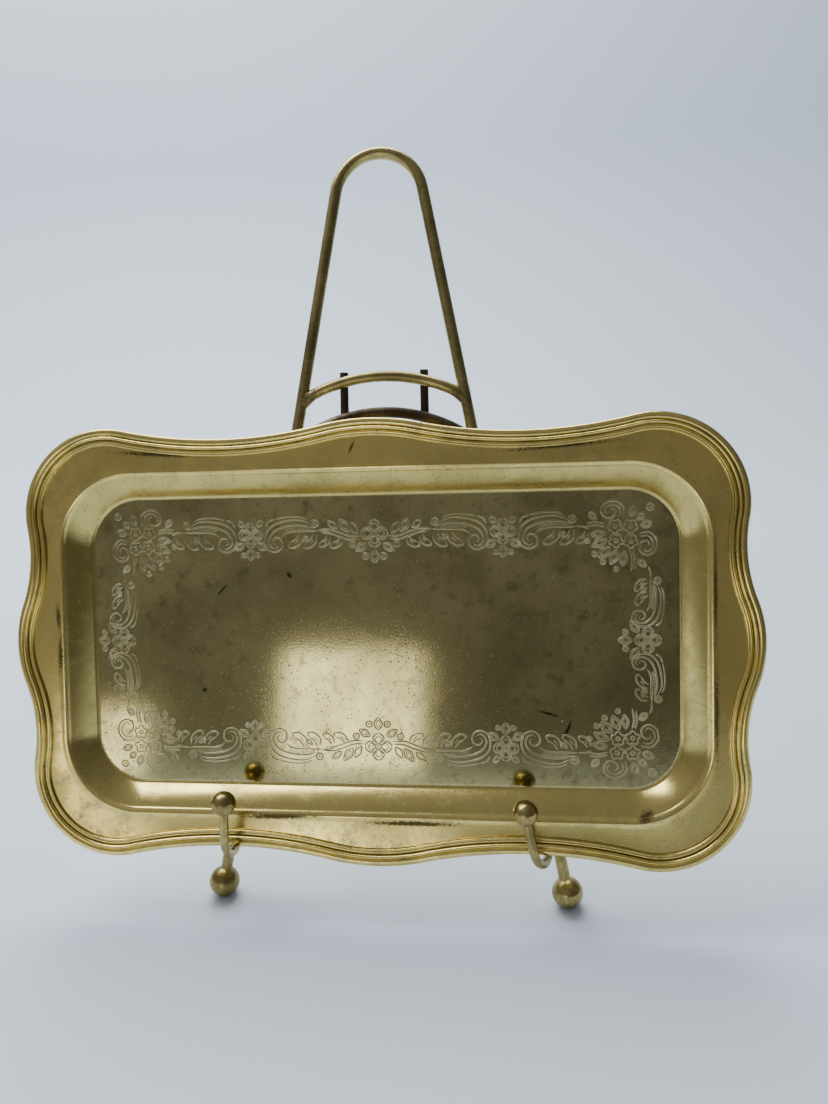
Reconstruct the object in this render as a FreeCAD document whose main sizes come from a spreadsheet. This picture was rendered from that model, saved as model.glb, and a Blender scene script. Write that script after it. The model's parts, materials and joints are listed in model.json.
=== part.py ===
"""A scalloped brass tray standing on a folding wire easel.

Everything is drawn in the easel's own flat frame and then stood up:
  x  to the right,
  y  up along the front loop, from the centres of the two foot balls,
  z  out of the front loop, towards the tray.
The placement `standing` leans that frame back and puts the whole object on +Z up, with the
middle of its footprint at the origin.
"""
import FreeCAD, Part
import math
import os

SIZES = {
    # How the object stands: its lean, and how far the easel is right of the tray's middle
    "lean_angle": 15.0,
    "easel_offset": 5.0,
    # Front loop: one bent rod with a ball on each foot
    "rod_diameter": 6.0,
    "foot_spread": 182.8,
    "loop_length": 381.2,
    "loop_bend_radius": 22.9,
    "foot_ball_diameter": 16.0,
    "foot_socket_depth": 5.0,
    # Two arches brazed between the legs of the loop
    "arch_diameter": 5.6,
    "upper_arch_top": 267.6,
    "upper_arch_radius": 85.0,
    "upper_arch_sweep": 60.0,
    "lower_arch_top": 249.0,
    "lower_arch_radius": 78.0,
    "lower_arch_sweep": 73.0,
    # Rear leg: one bent wire that turns on a straight bar
    "wire_diameter": 4.5,
    "wire_spacing": 42.4,
    "wire_top": 271.0,
    "stop_gap": 0.4,
    "bar_diameter": 4.0,
    "pivot_height": 221.0,
    "pivot_depth": -0.8,
    "fold_angle": 38.0,
    "knee_drop": 6.0,
    "knee_radius": 10.0,
    "sleeve_diameter": 6.6,
    "sleeve_length": 12.0,
    "running_clearance": 0.05,
    "collar_diameter": 7.0,
    "collar_length": 3.0,
    "collar_gap": 0.5,
    # Hooks that carry the tray; the right one follows its leg's slope and is turned inwards
    "hook_bend_radius": 12.9,
    "hook_back_depth": 4.4,
    "hook_back_top": 48.0,
    "hook_ball_diameter": 12.4,
    "hook_ball_height": 52.5,
    "hook_socket_depth": 4.5,
    "left_hook_x": -80.0,
    "left_hook_roll": 0.0,
    "left_hook_yaw": 0.0,
    "right_hook_x": 81.9,
    "right_hook_roll": 10.8,
    "right_hook_yaw": -20.0,
    "hook_gap": 0.45,
    # Tray outline: the arcs of one quarter, from the top middle round to the right end
    "tray_half_width": 190.5,
    "tray_half_height": 113.5,
    "crest_radius": 114.9,
    "crest_turn": 12.33,
    "dip_radius": 244.0,
    "dip_turn": -12.54,
    "corner_radius": 44.4,
    "side_dip_radius": 74.4,
    "side_crest_radius": 60.0,
    # Tray section
    "sheet_thickness": 1.0,
    "back_gap": 0.3,
    "well_half_width": 153.1,
    "well_half_height": 75.8,
    "well_corner_radius": 25.9,
    "well_depth": 11.0,
    "wall_run": 12.2,
    "border_width": 9.0,
    "border_height": 3.4,
    "bead_width": 6.3,
    "inner_bead_height": 2.2,
    "tray_centre_height": 131.0,
}

X_AXIS = FreeCAD.Vector(1, 0, 0)
Y_AXIS = FreeCAD.Vector(0, 1, 0)
Z_AXIS = FreeCAD.Vector(0, 0, 1)

doc = FreeCAD.newDocument("tray_on_easel")
sheet = doc.addObject("Spreadsheet::Sheet", "Sizes")
for row, (name, value) in enumerate(SIZES.items(), start=1):
    sheet.set(f"A{row}", name)
    sheet.set(f"B{row}", str(value))
    sheet.setAlias(f"B{row}", name)
doc.recompute()


def size(name):
    """A driving dimension, read from the sheet."""
    return float(getattr(sheet, name))


# ------------------------------------------------------------------ values worked out once

LEAN = math.radians(size("lean_angle"))
REAR_LEAN = math.radians(size("fold_angle")) - LEAN
ROD = size("rod_diameter") / 2
WIRE = size("wire_diameter") / 2
FOOT_BALL = size("foot_ball_diameter") / 2
HOOK_BALL = size("hook_ball_diameter") / 2
HOOK_BEND = size("hook_bend_radius")
PIVOT = size("pivot_height")
PIVOT_DEPTH = size("pivot_depth")
HALF_SPREAD = size("foot_spread") / 2

# A leg of the loop is the tangent from its foot to the bend's centre circle.
BEND_CENTRE = size("loop_length") - size("loop_bend_radius")
foot_to_centre = math.hypot(HALF_SPREAD, BEND_CENTRE)
LEG_SLOPE = math.atan2(HALF_SPREAD, BEND_CENTRE) - math.asin(size("loop_bend_radius") / foot_to_centre)
LEG_LENGTH = math.sqrt(foot_to_centre ** 2 - size("loop_bend_radius") ** 2)

# The wires stand behind the arches, and the tray's floor stands in front of the loop.
WIRE_DEPTH = -(size("arch_diameter") / 2 + size("stop_gap") + WIRE)
FLOOR_DEPTH = ROD + size("back_gap") + size("sheet_thickness")


def leaned(y, z):
    """How far back and how high a point of the flat frame stands, before centring."""
    back = y * math.sin(LEAN) - z * math.cos(LEAN)
    height = FOOT_BALL + y * math.cos(LEAN) + z * math.sin(LEAN)
    return back, height


# The rear leg is as long as it takes to rest its round end on the table.
knee_back, knee_height = leaned(PIVOT - size("knee_drop"), WIRE_DEPTH)
REAR_LENGTH = (knee_height - WIRE) / math.cos(REAR_LEAN)
REARMOST = knee_back + REAR_LENGTH * math.sin(REAR_LEAN) + WIRE


def outline_arcs():
    """Centre, signed radius and end angles of each arc of the tray's first quarter.

    Angles turn clockwise from +y. A negative radius is a hollow arc, centred outside the tray.
    """
    def towards(degrees):
        angle = math.radians(degrees)
        return FreeCAD.Vector(math.sin(angle), math.cos(angle), 0)

    def heading(vector):
        return math.degrees(math.atan2(vector.x, vector.y))

    crest, dip = size("crest_radius"), size("dip_radius")
    corner, side_dip = size("corner_radius"), size("side_dip_radius")
    side_crest = size("side_crest_radius")
    crest_centre = FreeCAD.Vector(0, size("tray_half_height") - crest, 0)
    dip_centre = crest_centre + towards(size("crest_turn")) * (crest + dip)
    corner_centre = dip_centre - towards(size("dip_turn")) * (dip + corner)
    end_centre = FreeCAD.Vector(size("tray_half_width") - side_crest, 0, 0)
    # The hollow of the short side touches both its neighbours, which places its centre.
    reach, far_reach = corner + side_dip, side_dip + side_crest
    base = end_centre - corner_centre
    span = base.Length
    foot = (reach ** 2 - far_reach ** 2 + span ** 2) / (2 * span)
    rise = math.sqrt(reach ** 2 - foot ** 2)
    base.normalize()
    outward = FreeCAD.Vector(-base.y, base.x, 0)
    side_centre = corner_centre + base * foot + outward * rise
    corner_end = heading(side_centre - corner_centre)
    side_end = heading(side_centre - end_centre)
    return towards, [
        (crest_centre, crest, 0, size("crest_turn")),
        (dip_centre, -dip, size("crest_turn"), size("dip_turn")),
        (corner_centre, corner, size("dip_turn"), corner_end),
        (side_centre, -side_dip, corner_end, side_end),
        (end_centre, side_crest, side_end, 90),
    ]


def tray_outline():
    """The closed scalloped edge, one quarter mirrored into the other three."""
    towards, arcs = outline_arcs()
    edges = []
    for flip_x in (1, -1):
        for flip_y in (1, -1):
            for centre, radius, start, end in arcs:
                points = [centre + towards(turn) * radius for turn in (start, (start + end) / 2, end)]
                flipped = [FreeCAD.Vector(p.x * flip_x, p.y * flip_y, 0) for p in points]
                edges.append(Part.Arc(*flipped).toShape())
    return Part.Wire(Part.__sortEdges__(edges))


outline = tray_outline()
dip_centre, dip_radius, _, _ = outline_arcs()[1][1]
DIP_HEIGHT = dip_centre.y + dip_radius


def hook_bend_height(roll):
    """Height of a hook's bend centre that leaves the gap under the tray's edge."""
    edge = size("tray_centre_height") - DIP_HEIGHT
    return edge - size("hook_gap") - WIRE + HOOK_BEND * math.cos(math.radians(roll))


hook_back, _ = leaned(hook_bend_height(0), size("hook_back_depth") + HOOK_BEND)
FOREMOST = hook_back - HOOK_BEND - WIRE
standing = FreeCAD.Placement(
    FreeCAD.Vector(size("easel_offset"), -(FOREMOST + REARMOST) / 2, FOOT_BALL),
    FreeCAD.Rotation(X_AXIS, 90 - size("lean_angle")),
)


# ---------------------------------------------------------------------- building blocks

def rod(name, start, direction, radius, length, frame=standing):
    """A straight round rod from a point of the flat frame along a direction."""
    item = doc.addObject("Part::Cylinder", name)
    item.setExpression("Radius", radius)
    item.Height = length
    item.Placement = frame * FreeCAD.Placement(start, FreeCAD.Rotation(Z_AXIS, direction))
    return item


def bend(name, centre, axes, bend_radius, radius, sweep, frame=standing):
    """A round rod bent along an arc that starts on the first of two axes, towards the second."""
    first, second = axes
    turn = FreeCAD.Rotation(first, second, first.cross(second), "ZXY")
    item = doc.addObject("Part::Torus", name)
    item.setExpression("Radius1", bend_radius)
    item.setExpression("Radius2", radius)
    item.Angle3 = sweep
    item.Placement = frame * FreeCAD.Placement(centre, turn)
    return item


def ball(name, centre, radius, frame=standing):
    item = doc.addObject("Part::Sphere", name)
    item.setExpression("Radius", radius)
    item.Placement = frame * FreeCAD.Placement(centre, FreeCAD.Rotation())
    return item


def joined(label, pieces):
    item = doc.addObject("Part::MultiFuse", label)
    item.Shapes = pieces
    item.Label = label
    return item


def cut(label, base, tool):
    item = doc.addObject("Part::Cut", label)
    item.Base = base
    item.Tool = tool
    item.Label = label
    return item


def turned(degrees):
    """Direction in the flat frame at an angle measured from +x."""
    angle = math.radians(degrees)
    return FreeCAD.Vector(math.cos(angle), math.sin(angle), 0)


# --------------------------------------------------------------------------- the easel

ROD_RADIUS = "Sizes.rod_diameter / 2"
WIRE_RADIUS = "Sizes.wire_diameter / 2"
BAR_RADIUS = "Sizes.bar_diameter / 2"
ARCH_RADIUS = "Sizes.arch_diameter / 2"
SIDES = {"left": -1, "right": 1}


def front_loop():
    """Two straight legs and the round bend over them, with the rod's ends inside the foot balls."""
    buried = FOOT_BALL - size("foot_socket_depth")
    pieces = []
    for side, sign in SIDES.items():
        up = FreeCAD.Vector(-sign * math.sin(LEG_SLOPE), math.cos(LEG_SLOPE), 0)
        foot = FreeCAD.Vector(sign * HALF_SPREAD, 0, 0)
        pieces.append(rod(f"loop_leg_{side}", foot + up * buried, up, ROD_RADIUS, LEG_LENGTH - buried))
    slope = math.degrees(LEG_SLOPE)
    centre = FreeCAD.Vector(0, BEND_CENTRE, 0)
    axes = (turned(slope), turned(slope + 90))
    pieces.append(bend("loop_bend", centre, axes, "Sizes.loop_bend_radius", ROD_RADIUS, 180 - 2 * slope))
    return joined("front_loop", pieces)


def foot_ball(side, sign):
    """A ball with a blind socket for the end of its leg."""
    up = FreeCAD.Vector(-sign * math.sin(LEG_SLOPE), math.cos(LEG_SLOPE), 0)
    centre = FreeCAD.Vector(sign * HALF_SPREAD, 0, 0)
    buried = FOOT_BALL - size("foot_socket_depth")
    whole = ball(f"foot_sphere_{side}", centre, "Sizes.foot_ball_diameter / 2")
    socket = rod(f"foot_socket_{side}", centre + up * buried, up, ROD_RADIUS, FOOT_BALL)
    return cut(f"foot_ball_{side}", whole, socket)


def arch(label, loop):
    """A bent rod between the legs, coped to them at both ends."""
    centre = FreeCAD.Vector(0, size(f"{label}_top") - size(f"{label}_radius"), 0)
    start = 90 - size(f"{label}_sweep") / 2
    axes = (turned(start), turned(start + 90))
    sweep = size(f"{label}_sweep")
    return cut(label, bend(f"{label}_rod", centre, axes, f"Sizes.{label}_radius", ARCH_RADIUS, sweep), loop)


def hinge_bar(loop):
    """The straight bar that the rear leg turns on."""
    reach = HALF_SPREAD - PIVOT * math.tan(LEG_SLOPE)
    start = FreeCAD.Vector(-reach, PIVOT, PIVOT_DEPTH)
    return cut("hinge_bar", rod("hinge_bar_rod", start, X_AXIS, BAR_RADIUS, 2 * reach), loop)


def hinge_collar(side, sign):
    """A ring fixed on the bar, just outside a sleeve, that keeps the rear leg in the middle."""
    inner = size("wire_spacing") / 2 + size("sleeve_length") / 2 + size("collar_gap")
    start = FreeCAD.Vector(sign * inner, PIVOT, PIVOT_DEPTH)
    across = X_AXIS * sign
    whole = rod(f"collar_rod_{side}", start, across, "Sizes.collar_diameter / 2", size("collar_length"))
    hole = rod(f"collar_hole_{side}", start, across, BAR_RADIUS, size("collar_length"))
    return cut(f"hinge_collar_{side}", whole, hole)


def rear_leg():
    """One wire: two short uprights that bear on the arches, two knees, two long legs, a round end."""
    fold = math.radians(size("fold_angle"))
    down = FreeCAD.Vector(0, -math.cos(fold), -math.sin(fold))
    half = size("wire_spacing") / 2
    tangent = size("knee_radius") * math.tan(fold / 2)
    knee_y = PIVOT - size("knee_drop")
    straight = REAR_LENGTH - tangent - half
    pieces = []
    for side, sign in SIDES.items():
        knee = FreeCAD.Vector(sign * half, knee_y, WIRE_DEPTH)
        start = knee + Y_AXIS * tangent
        pieces.append(rod(f"upright_{side}", start, Y_AXIS, WIRE_RADIUS, size("wire_top") - start.y))
        centre = start - Z_AXIS * size("knee_radius")
        axes = (Z_AXIS, Y_AXIS * -1)
        pieces.append(bend(f"knee_{side}", centre, axes, "Sizes.knee_radius", WIRE_RADIUS, size("fold_angle")))
        pieces.append(rod(f"long_leg_{side}", knee + down * tangent, down, WIRE_RADIUS, straight))
    centre = FreeCAD.Vector(0, knee_y, WIRE_DEPTH) + down * (tangent + straight)
    pieces.append(bend("round_end", centre, (X_AXIS, down), "Sizes.wire_spacing / 2", WIRE_RADIUS, 180))
    return joined("rear_leg", pieces)


def hinge_sleeve(side, sign, leg):
    """A short tube that runs on the bar and is brazed to the front of the rear leg's wire."""
    middle = sign * size("wire_spacing") / 2
    start = FreeCAD.Vector(middle - size("sleeve_length") / 2, PIVOT, PIVOT_DEPTH)
    length = size("sleeve_length")
    whole = rod(f"sleeve_rod_{side}", start, X_AXIS, "Sizes.sleeve_diameter / 2", length)
    bore_radius = "Sizes.bar_diameter / 2 + Sizes.running_clearance"
    bore = rod(f"sleeve_bore_{side}", start, X_AXIS, bore_radius, length)
    tube = cut(f"sleeve_tube_{side}", whole, bore)
    return cut(f"hinge_sleeve_{side}", tube, leg)


def hook(side, loop):
    """A wire hook brazed to a leg, and the ball on its front end."""
    roll, yaw = size(f"{side}_hook_roll"), size(f"{side}_hook_yaw")
    height = hook_bend_height(roll)
    root = FreeCAD.Vector(size(f"{side}_hook_x"), height, size("hook_back_depth"))
    turn = FreeCAD.Rotation(Z_AXIS, roll) * FreeCAD.Rotation(Y_AXIS, yaw)
    frame = standing * FreeCAD.Placement(root, turn)
    front = Z_AXIS * (2 * HOOK_BEND)
    rise = size("hook_ball_height") - height
    stem = rise - HOOK_BALL + size("hook_socket_depth")
    back = rod(f"hook_back_{side}", FreeCAD.Vector(), Y_AXIS, WIRE_RADIUS, size("hook_back_top") - height, frame)
    axes = (Z_AXIS, Y_AXIS * -1)
    under = bend(f"hook_bend_{side}", front / 2, axes, "Sizes.hook_bend_radius", WIRE_RADIUS, 180, frame)
    rising = rod(f"hook_front_{side}", front, Y_AXIS, WIRE_RADIUS, stem, frame)
    wire = joined(f"hook_wire_{side}", [back, under, rising])
    whole = ball(f"hook_sphere_{side}", front + Y_AXIS * rise, "Sizes.hook_ball_diameter / 2", frame)
    socket = rod(f"hook_socket_{side}", front, Y_AXIS, WIRE_RADIUS, stem, frame)
    return cut(f"hook_{side}", wire, loop), cut(f"hook_ball_{side}", whole, socket)


# ---------------------------------------------------------------------------- the tray

def rounded_rectangle(grown, z):
    """The well's outline at a height, grown outwards by a distance."""
    wide = size("well_half_width") + grown
    tall = size("well_half_height") + grown
    radius = size("well_corner_radius") + grown
    diagonal = radius * (1 - math.sqrt(0.5))
    edges = []
    for flip_x, flip_y in ((1, 1), (1, -1), (-1, -1), (-1, 1)):
        side_point = FreeCAD.Vector(flip_x * wide, flip_y * (tall - radius), z)
        middle = FreeCAD.Vector(flip_x * (wide - diagonal), flip_y * (tall - diagonal), z)
        end_point = FreeCAD.Vector(flip_x * (wide - radius), flip_y * tall, z)
        edges.append(Part.Arc(side_point, middle, end_point).toShape())
    for flip in (1, -1):
        along_x = [FreeCAD.Vector(s * (wide - radius), flip * tall, z) for s in (-1, 1)]
        along_y = [FreeCAD.Vector(flip * wide, s * (tall - radius), z) for s in (-1, 1)]
        edges.append(Part.makeLine(*along_x))
        edges.append(Part.makeLine(*along_y))
    return Part.Wire(Part.__sortEdges__(edges))


def prism(wire, low, high):
    """A straight block over a closed wire, between two heights."""
    face = Part.Face(wire)
    face.translate(Z_AXIS * low)
    return face.extrude(Z_AXIS * (high - low))


def pan_shape():
    """The pressed sheet: a flat floor, a sloping wall and a flat scalloped flange."""
    depth, run = size("well_depth"), size("wall_run")
    sheet_metal = size("sheet_thickness")
    spread = run / depth
    skin = sheet_metal / math.sin(math.atan2(depth, run))
    low = rounded_rectangle(skin - sheet_metal * spread, -sheet_metal)
    high = rounded_rectangle(skin + (depth - sheet_metal) * spread, depth - sheet_metal)
    outside = Part.makeLoft([low, high], True, True)
    hollow = Part.makeLoft([rounded_rectangle(0, 0), rounded_rectangle(run, depth)], True, True)
    flange = prism(outline, depth - sheet_metal, depth)
    return outside.fuse(flange).cut(hollow)


def border_shape():
    """The moulding on the flange's edge: a tall outer bead and a lower inner one."""
    base = size("well_depth")
    inner_edge = outline.makeOffset2D(-size("border_width"))
    bead_edge = outline.makeOffset2D(-size("bead_width"))
    low_top = base + size("inner_bead_height")
    high_top = base + size("border_height")
    low_bead = prism(outline, base, low_top).cut(prism(inner_edge, base, low_top))
    high_bead = prism(outline, base, high_top).cut(prism(bead_edge, base, high_top))
    return low_bead.fuse(high_bead).removeSplitter()


def tray_piece(label, shape):
    """A tray part, set in front of the loop and centred over the hooks."""
    item = doc.addObject("Part::Feature", label)
    item.Shape = shape
    item.Label = label
    centre = FreeCAD.Vector(-size("easel_offset"), size("tray_centre_height"), FLOOR_DEPTH)
    item.Placement = standing * FreeCAD.Placement(centre, FreeCAD.Rotation())
    return item


# -------------------------------------------------------------------------- everything

loop = front_loop()
leg = rear_leg()
nodes = [loop, leg, arch("upper_arch", loop), arch("lower_arch", loop), hinge_bar(loop)]
for side, sign in SIDES.items():
    nodes.append(foot_ball(side, sign))
    nodes.append(hinge_collar(side, sign))
    nodes.append(hinge_sleeve(side, sign, leg))
    nodes.extend(hook(side, loop))
nodes.append(tray_piece("tray_pan", pan_shape()))
nodes.append(tray_piece("tray_border", border_shape()))
doc.recompute()

for item in doc.Objects:
    if "Invalid" in item.State or "Error" in item.State:
        raise RuntimeError(f"{item.Label} failed to build: {item.State}")

os.makedirs("parts", exist_ok=True)
for item in nodes:
    if item.Shape.isNull() or not item.Shape.isValid():
        raise RuntimeError(f"{item.Label} is not a valid shape")
    if len(item.Shape.Solids) != 1:
        raise RuntimeError(f"{item.Label} has {len(item.Shape.Solids)} solids")
    item.Shape.exportStep(f"parts/{item.Label}.step")
    box = item.Shape.BoundBox
    print(f"{item.Label:20s} {item.Shape.Volume:10.1f} mm3",
          f"x {box.XMin:7.1f} {box.XMax:7.1f}  y {box.YMin:7.1f} {box.YMax:7.1f}",
          f"z {box.ZMin:7.1f} {box.ZMax:7.1f}")
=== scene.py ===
"""Looks for the scalloped brass tray on its folding wire easel.

The tray is rebuilt as a pressed sheet with a reeded border and a chased floral band. The easel
keeps its packed rods and balls and gains brazing at its joints. Sizes of the tray are millimetres
in its flat frame: x right, y up along the lean, z out of the well's floor. `placed` turns them
into the row's metres. The studio is laid out in metres.
"""
import json
import math

import bmesh
import bpy
import numpy as np
from mathutils import Matrix, Vector, noise


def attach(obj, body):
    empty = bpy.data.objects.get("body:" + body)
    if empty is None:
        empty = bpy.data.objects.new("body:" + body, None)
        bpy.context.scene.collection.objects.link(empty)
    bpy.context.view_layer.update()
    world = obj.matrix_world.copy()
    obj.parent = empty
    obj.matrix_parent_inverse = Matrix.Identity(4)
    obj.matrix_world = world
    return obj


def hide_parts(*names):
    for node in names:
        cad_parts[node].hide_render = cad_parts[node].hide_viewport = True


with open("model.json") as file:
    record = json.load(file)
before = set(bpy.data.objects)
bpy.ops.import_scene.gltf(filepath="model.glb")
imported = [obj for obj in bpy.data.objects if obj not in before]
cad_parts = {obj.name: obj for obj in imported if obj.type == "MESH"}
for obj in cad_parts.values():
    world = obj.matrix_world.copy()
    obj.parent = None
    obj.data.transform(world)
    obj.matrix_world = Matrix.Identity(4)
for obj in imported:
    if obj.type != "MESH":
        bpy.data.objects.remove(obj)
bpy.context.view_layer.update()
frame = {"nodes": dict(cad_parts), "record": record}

MM = 0.001
RECORD = frame["record"]


# ------------------------------------------------------------------ frames from the record

def find(items, name):
    return next(item for item in items if item["name"] == name)


well_floor = find(RECORD["mounts"], "well_floor")
UP = Vector(find(RECORD["behaviour"]["joints"], "tray_lift_off")["axis"]).normalized()
FRONT = Vector(well_floor["axis"]).normalized()
RIGHT = UP.cross(FRONT)
TRAY = Matrix((RIGHT, UP, FRONT)).transposed().to_4x4()
TRAY.translation = Vector(well_floor["pos_m"])


def placed(points):
    """Flat-frame millimetres to row metres."""
    spin = np.array(TRAY.to_3x3()) * MM
    return np.asarray(points, float) @ spin.T + np.array(TRAY.translation)


def add_mesh(name, points, faces, material, body, hides=()):
    """A smooth mesh object from flat-frame points, with one material, riding on a body."""
    mesh = bpy.data.meshes.new(name)
    mesh.from_pydata([tuple(v) for v in placed(points)], [], faces)
    mesh.materials.append(material)
    mesh.polygons.foreach_set("use_smooth", [True] * len(mesh.polygons))
    shell = bmesh.new()
    shell.from_mesh(mesh)
    bmesh.ops.recalc_face_normals(shell, faces=shell.faces)
    shell.to_mesh(mesh)
    shell.free()
    mesh.update()
    item = bpy.data.objects.new(name, mesh)
    bpy.context.scene.collection.objects.link(item)
    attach(item, body)
    if hides:
        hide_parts(*hides)
    return item


# --------------------------------------------------------------------------- materials

class Paint:
    """A material and short ways to add nodes to it."""

    def __init__(self, name):
        self.material = bpy.data.materials.new(name)
        self.material.use_nodes = True
        self.tree = self.material.node_tree
        self.shader = self.tree.nodes["Principled BSDF"]

    def feed(self, socket, value):
        if isinstance(value, bpy.types.NodeSocket):
            self.tree.links.new(value, socket)
        else:
            socket.default_value = value

    def add(self, kind, settings=None, **values):
        node = self.tree.nodes.new("ShaderNode" + kind)
        for key, value in (settings or {}).items():
            setattr(node, key, value)
        for key, value in values.items():
            self.feed(node.inputs[key], value)
        return node

    def maths(self, operation, first, second):
        node = self.add("Math", {"operation": operation})
        self.feed(node.inputs[0], first)
        self.feed(node.inputs[1], second)
        return node.outputs[0]

    def plus(self, first, second):
        return self.maths("ADD", first, second)

    def times(self, first, second):
        return self.maths("MULTIPLY", first, second)

    def strongest(self, masks):
        """The largest of several masks."""
        result = masks[0]
        for mask in masks[1:]:
            result = self.maths("MAXIMUM", result, mask)
        return result

    def blend(self, factor, first, second):
        node = self.add("Mix", {"data_type": "RGBA"})
        self.feed(node.inputs[0], factor)
        self.feed(node.inputs[6], first)
        self.feed(node.inputs[7], second)
        return node.outputs[2]

    def noise(self, place, scale, detail=3.0, roughness=0.55):
        node = self.add("TexNoise", Vector=place, Scale=scale, Detail=detail, Roughness=roughness)
        return node.outputs[0]

    def cells(self, place, scale):
        """Distance to the nearest of many scattered points."""
        return self.add("TexVoronoi", {"feature": "F1"}, Vector=place, Scale=scale).outputs[0]

    def step(self, value, low, high, to_low=0.0, to_high=1.0):
        """Smooth ramp of a value between two limits."""
        node = self.add("MapRange", {"interpolation_type": "SMOOTHSTEP"})
        for socket, number in zip(node.inputs, (value, low, high, to_low, to_high)):
            self.feed(socket, number)
        return node.outputs[0]

    def flat_place(self):
        """Shader coordinates in the tray's flat frame, in millimetres."""
        place = self.add("TexCoord").outputs["Object"]
        origin = self.add("VectorMath", {"operation": "SUBTRACT"})
        self.feed(origin.inputs[0], place)
        self.feed(origin.inputs[1], tuple(TRAY.translation))
        parts = []
        for axis in (RIGHT, UP, FRONT):
            dot = self.add("VectorMath", {"operation": "DOT_PRODUCT"})
            self.feed(dot.inputs[0], origin.outputs[0])
            self.feed(dot.inputs[1], tuple(axis / MM))
            parts.append(dot.outputs["Value"])
        return self.add("CombineXYZ", X=parts[0], Y=parts[1], Z=parts[2]).outputs[0]

    def stretched(self, place, scale):
        node = self.add("VectorMath", {"operation": "MULTIPLY"})
        self.feed(node.inputs[0], place)
        self.feed(node.inputs[1], scale)
        return node.outputs[0]

    def spot(self, place, middle, radii, turn, ragged):
        """A ragged mark of elliptical shape in the flat frame, from 0 outside to 1 inside."""
        node = self.add("Mapping", {"vector_type": "TEXTURE"})
        self.feed(node.inputs["Vector"], place)
        node.inputs["Location"].default_value = (*middle, 0)
        node.inputs["Rotation"].default_value = (0, 0, math.radians(turn))
        node.inputs["Scale"].default_value = (*radii, 1000)
        length = self.add("VectorMath", {"operation": "LENGTH"})
        self.feed(length.inputs[0], node.outputs[0])
        wobble = self.times(self.noise(place, 0.7, 5, 0.75), ragged * 3)
        total = self.plus(length.outputs["Value"], wobble)
        return self.step(total, 0.35 + ragged * 1.5, 1.1 + ragged * 1.5, 0.88, 0.0)

    def bump(self, height, strength, distance):
        node = self.add("Bump", Height=height, Strength=strength, Distance=distance)
        self.feed(self.shader.inputs["Normal"], node.outputs[0])

    def finish(self, colour, roughness, metallic=1.0):
        self.feed(self.shader.inputs["Base Color"], colour)
        self.feed(self.shader.inputs["Roughness"], roughness)
        self.shader.inputs["Metallic"].default_value = metallic
        return self.material


BLACK = (0.03, 0.021, 0.010, 1)
BRIGHT_BRASS = (0.80, 0.63, 0.20, 1)
CLOUDED_BRASS = (0.60, 0.475, 0.15, 1)
MOTTLED_BRASS = (0.42, 0.37, 0.16, 1)
WALL_TARNISH = (0.36, 0.285, 0.095, 1)
GRIME = (0.26, 0.18, 0.06, 1)
SPECK = (0.16, 0.12, 0.05, 1)
GROOVE_DIRT_AND_SHADE = (0.06, 0.044, 0.016, 1)
WELL_BRIGHT = (0.50, 0.445, 0.20, 1)
WELL_CLOUDED = (0.35, 0.305, 0.135, 1)
WELL_BLOTCH = (0.21, 0.17, 0.075, 1)
WELL_PIT = (0.12, 0.095, 0.04, 1)
WELL_PALE = (0.60, 0.56, 0.38, 1)
WIRE_FLECK = (0.05, 0.035, 0.015, 1)
# Heights over which the wall's darker tarnish fades out, and those of the border's groove, darkened
# with dirt and painted shade.
WALL_TARNISH_FADE = (9.2, 10.9)
GROOVE_HEIGHTS = (12.68, 13.02)
WEAR_RANGE = 0.34


def polished_brass(name, streaks=(), groove_heights=None):
    """Warm polished brass: faint cloudy tarnish, specks, hairlines, black streaks, grooves darkened
    with dirt and painted shade.
    """
    paint = Paint(name)
    place = paint.flat_place()
    clouds = paint.step(paint.noise(place, 0.035, 4), 0.42, 0.68)
    height = paint.add("SeparateXYZ", Vector=place).outputs["Z"]
    recess = paint.step(height, *WALL_TARNISH_FADE, 0.45, 0.0)
    grime = paint.step(paint.noise(place, 0.35, 5, 0.7), 0.56, 0.73)
    colour = paint.blend(clouds, BRIGHT_BRASS, CLOUDED_BRASS)
    mottle = paint.step(paint.noise(place, 0.13, 5, 0.7), 0.48, 0.66)
    colour = paint.blend(paint.times(mottle, 0.5), colour, MOTTLED_BRASS)
    colour = paint.blend(recess, colour, WALL_TARNISH)
    colour = paint.blend(paint.times(grime, 0.55), colour, GRIME)
    rough = paint.plus(paint.times(clouds, 0.07), 0.16)
    rough = paint.plus(rough, paint.times(grime, 0.15))
    rough = paint.plus(rough, paint.times(mottle, 0.08))
    cells = paint.cells(place, 0.55)
    some = paint.step(paint.noise(place, 0.07, 3), 0.46, 0.64)
    specks = paint.times(paint.step(cells, 0.08, 0.20, 1.0, 0.0), some)
    colour = paint.blend(paint.times(specks, 0.8), colour, SPECK)
    rough = paint.plus(rough, paint.times(specks, 0.3))
    if groove_heights:
        # The groove is darkened by height: patchy dirt and painted shade in the crease.
        low, high = groove_heights
        above = paint.step(height, low - 0.12, low)
        below = paint.step(height, high - 0.3, high, 1.0, 0.0)
        patchy = paint.step(paint.noise(place, 0.05, 4), 0.3, 0.6, 0.45, 0.95)
        groove_dirt_and_shade = paint.times(paint.times(above, below), patchy)
        colour = paint.blend(groove_dirt_and_shade, colour, GROOVE_DIRT_AND_SHADE)
        rough = paint.plus(rough, paint.times(groove_dirt_and_shade, 0.3))
    if streaks:
        marks = paint.strongest([paint.spot(place, *mark) for mark in streaks])
        colour = paint.blend(marks, colour, BLACK)
        rough = paint.maths("MAXIMUM", rough, paint.times(marks, 0.6))
    hairs = paint.noise(paint.stretched(place, (0.25, 3.5, 3.5)), 0.8, 2)
    paint.bump(paint.plus(hairs, paint.noise(place, 1.6, 2)), 0.05, 0.0002)
    return paint.finish(colour, rough)


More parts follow.
